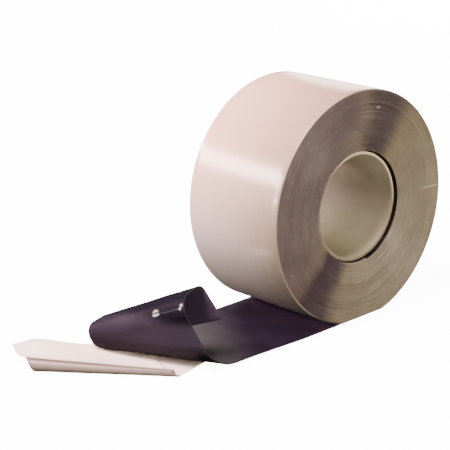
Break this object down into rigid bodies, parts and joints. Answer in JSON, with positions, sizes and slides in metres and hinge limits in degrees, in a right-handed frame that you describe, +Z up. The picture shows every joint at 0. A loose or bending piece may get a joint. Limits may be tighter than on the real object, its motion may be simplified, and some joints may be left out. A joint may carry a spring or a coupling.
{
  "type": "roll of seam cover tape",
  "caption": "Wide roll of liner-backed black seam cover tape on a board core, its free end curled over and the peeled liner folded beside it.",
  "frame": {"origin": "on the floor under the roll's axis, at the middle of the tape's width", "axes": "+Z up, +Y along the roll's axis, the free end of the tape runs to -X"},
  "size_m": [0.5494, 0.2099, 0.2919],
  "materials": {
    "liner_backed_turns": "satin liner over rubber",
    "core_board": "matt",
    "black_rubber": "semi-gloss",
    "release_liner": "satin"
  },
  "bodies": {
    "root": {"wound_roll": "liner_backed_turns", "core_tube": "core_board", "tape_tail": "black_rubber", "release_liner": "release_liner"}
  },
  "joints": []
}
